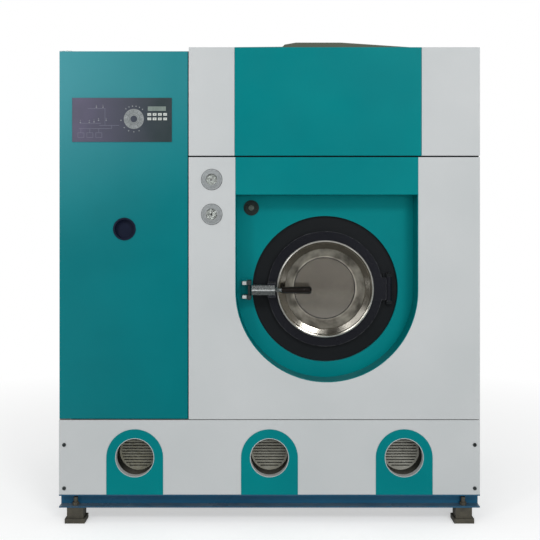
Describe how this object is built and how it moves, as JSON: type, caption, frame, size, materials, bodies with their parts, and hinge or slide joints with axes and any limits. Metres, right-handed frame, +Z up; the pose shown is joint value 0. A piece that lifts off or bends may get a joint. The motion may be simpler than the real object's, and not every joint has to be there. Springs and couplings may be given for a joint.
{
  "type": "dry cleaning machine",
  "caption": "Front-loading closed dry cleaning machine: teal and white sheet cabinet, round porthole door with lever latch, control cabinet, gauges, drum and drive.",
  "frame": {"origin": "on the floor under the middle of the bounding box", "axes": "+Z up, +Y from the front to the back, +X to the right as seen from the front"},
  "size_m": [1.6, 1.174, 1.876],
  "materials": {
    "blue_channel": "gloss enamel on hot rolled channel",
    "foot_iron": "cast, dusty",
    "frame_paint": "primer on square tube",
    "white_paint": "semi-gloss powder coat",
    "teal_paint": "semi-gloss powder coat",
    "dark_sheet": "matt primer",
    "grille_steel": "dull galvanised, dusty",
    "zinc_screw": "zinc plated",
    "roof_paint": "semi-gloss powder coat, dusty",
    "beige_cover": "matt paint, dusty",
    "black_shell": "satin black enamel",
    "grey_casting": "painted casting",
    "keeper_steel": "nickel plated",
    "gauge_chrome": "polished",
    "dial_white": "printed dial",
    "gauge_glass": "clear",
    "black_bezel": "moulded",
    "motor_grey": "painted casting",
    "belt_rubber": "ribbed belt",
    "tank_steel": "mill finish stainless",
    "galvanised": "folded sheet",
    "switchgear": "moulded switchgear on a plate",
    "brass_fitting": "turned, dull",
    "black_cup": "moulded",
    "panel_foil": "printed foil under clear film",
    "display_glass": "display window",
    "dial_disc": "pale printed disc",
    "polished_stainless": "polished spun stainless",
    "door_glass": "heat resistant glass",
    "seal_rubber": "moulded",
    "latch_steel": "nickel plated, worn",
    "grip_plastic": "moulded",
    "drum_stainless": "perforated stainless",
    "needle_black": "painted",
    "button_metal": "anodised",
    "key_plastic": "moulded key"
  },
  "bodies": {
    "cabinet": {"base_frame": "blue_channel", "levelling_feet": "foot_iron", "frame_tubes": "frame_paint", "lower_front_panel": "white_paint", "vent_arches": "teal_paint", "vent_collars": "dark_sheet", "vent_grilles": "grille_steel", "lower_panel_screws": "zinc_screw", "main_front_panel": "white_paint", "recess_pan": "teal_paint", "fascia_sides": "white_paint", "fascia_centre": "teal_paint", "side_panels": "white_paint", "rear_panels": "white_paint", "roof_panels": "roof_paint", "duct_cover": "beige_cover", "cabinet_hinges": "zinc_screw", "drum_shell": "black_shell", "bearing_housing": "grey_casting", "door_hinge_bracket": "black_shell", "latch_keeper": "keeper_steel", "gauge_cases": "gauge_chrome", "gauge_dials": "dial_white", "gauge_lenses": "gauge_glass", "jog_bezel": "black_bezel", "drive_motor": "motor_grey", "drive_belt": "belt_rubber", "solvent_tanks": "tank_steel", "still": "tank_steel", "solvent_circuit": "tank_steel", "air_duct": "galvanised", "fan_housing": "galvanised", "electrical_plate": "switchgear", "service_connections": "brass_fitting"},
    "control_door": {"control_door": "teal_paint", "control_door_cup": "black_cup", "control_window": "panel_foil", "panel_display": "display_glass", "panel_dial": "dial_disc"},
    "loading_door": {"door_flange": "black_shell", "door_rim": "polished_stainless", "door_glass": "door_glass", "door_seals": "seal_rubber"},
    "latch": {"latch_lever": "latch_steel", "latch_grip": "grip_plastic"},
    "drum": {"drum": "drum_stainless", "drum_pulley": "grey_casting"},
    "motor_rotor": {"motor_pulley": "grey_casting"},
    "fan": {"fan_wheel": "galvanised"},
    "gauge_needle_1": {"needle_1": "needle_black"},
    "gauge_needle_2": {"needle_2": "needle_black"},
    "jog_button": {"jog_button": "button_metal"},
    "key_1": {"key_1": "key_plastic"},
    "key_2": {"key_2": "key_plastic"},
    "key_3": {"key_3": "key_plastic"},
    "key_4": {"key_4": "key_plastic"},
    "key_5": {"key_5": "key_plastic"},
    "key_6": {"key_6": "key_plastic"},
    "key_7": {"key_7": "key_plastic"},
    "key_8": {"key_8": "key_plastic"}
  },
  "joints": [
    {"name": "loading_door_hinge", "type": "hinge", "parent": "cabinet", "child": "loading_door", "pos_m": [0.468, -0.465, 0.884], "axis": [0, 0, 1], "range_deg": [0, 110]},
    {"name": "latch_pivot", "type": "hinge", "parent": "loading_door", "child": "latch", "pos_m": [0.004, -0.533, 0.884], "axis": [0, 0, -1], "range_deg": [-15, 40]},
    {"name": "control_door_hinge", "type": "hinge", "parent": "cabinet", "child": "control_door", "pos_m": [-0.782, -0.559, 1.096], "axis": [0, 0, -1], "range_deg": [0, 110]},
    {"name": "drum_spin", "type": "hinge", "parent": "cabinet", "child": "drum", "pos_m": [0.218, -0.1, 0.884], "axis": [0, 1, 0], "continuous": true},
    {"name": "motor_spin", "type": "hinge", "parent": "cabinet", "child": "motor_rotor", "pos_m": [0.568, 0.262, 0.544], "axis": [0, 1, 0], "continuous": true},
    {"name": "fan_spin", "type": "hinge", "parent": "cabinet", "child": "fan", "pos_m": [-0.15, -0.08, 1.56], "axis": [0, 1, 0], "continuous": true},
    {"name": "gauge_needle_1_turn", "type": "hinge", "parent": "cabinet", "child": "gauge_needle_1", "pos_m": [-0.2195, -0.573, 1.175], "axis": [0, 1, 0], "range_deg": [-170, 100], "stiffness_Nm_per_rad": 0.00002},
    {"name": "gauge_needle_2_turn", "type": "hinge", "parent": "cabinet", "child": "gauge_needle_2", "pos_m": [-0.2195, -0.573, 1.307], "axis": [0, 1, 0], "range_deg": [-185, 85], "stiffness_Nm_per_rad": 0.00002},
    {"name": "jog_button_press", "type": "slide", "parent": "cabinet", "child": "jog_button", "axis": [0, 1, 0], "range_m": [0, 0.004], "stiffness_N_per_m": 900},
    {"name": "key_1_press", "type": "slide", "parent": "control_door", "child": "key_1", "axis": [0, 1, 0], "range_m": [0, 0.0012], "stiffness_N_per_m": 500},
    {"name": "key_2_press", "type": "slide", "parent": "control_door", "child": "key_2", "axis": [0, 1, 0], "range_m": [0, 0.0012], "stiffness_N_per_m": 500},
    {"name": "key_3_press", "type": "slide", "parent": "control_door", "child": "key_3", "axis": [0, 1, 0], "range_m": [0, 0.0012], "stiffness_N_per_m": 500},
    {"name": "key_4_press", "type": "slide", "parent": "control_door", "child": "key_4", "axis": [0, 1, 0], "range_m": [0, 0.0012], "stiffness_N_per_m": 500},
    {"name": "key_5_press", "type": "slide", "parent": "control_door", "child": "key_5", "axis": [0, 1, 0], "range_m": [0, 0.0012], "stiffness_N_per_m": 500},
    {"name": "key_6_press", "type": "slide", "parent": "control_door", "child": "key_6", "axis": [0, 1, 0], "range_m": [0, 0.0012], "stiffness_N_per_m": 500},
    {"name": "key_7_press", "type": "slide", "parent": "control_door", "child": "key_7", "axis": [0, 1, 0], "range_m": [0, 0.0012], "stiffness_N_per_m": 500},
    {"name": "key_8_press", "type": "slide", "parent": "control_door", "child": "key_8", "axis": [0, 1, 0], "range_m": [0, 0.0012], "stiffness_N_per_m": 500}
  ],
  "couplings": [
    {"joint": "motor_spin", "follows": "drum_spin", "ratio": 4.6}
  ]
}
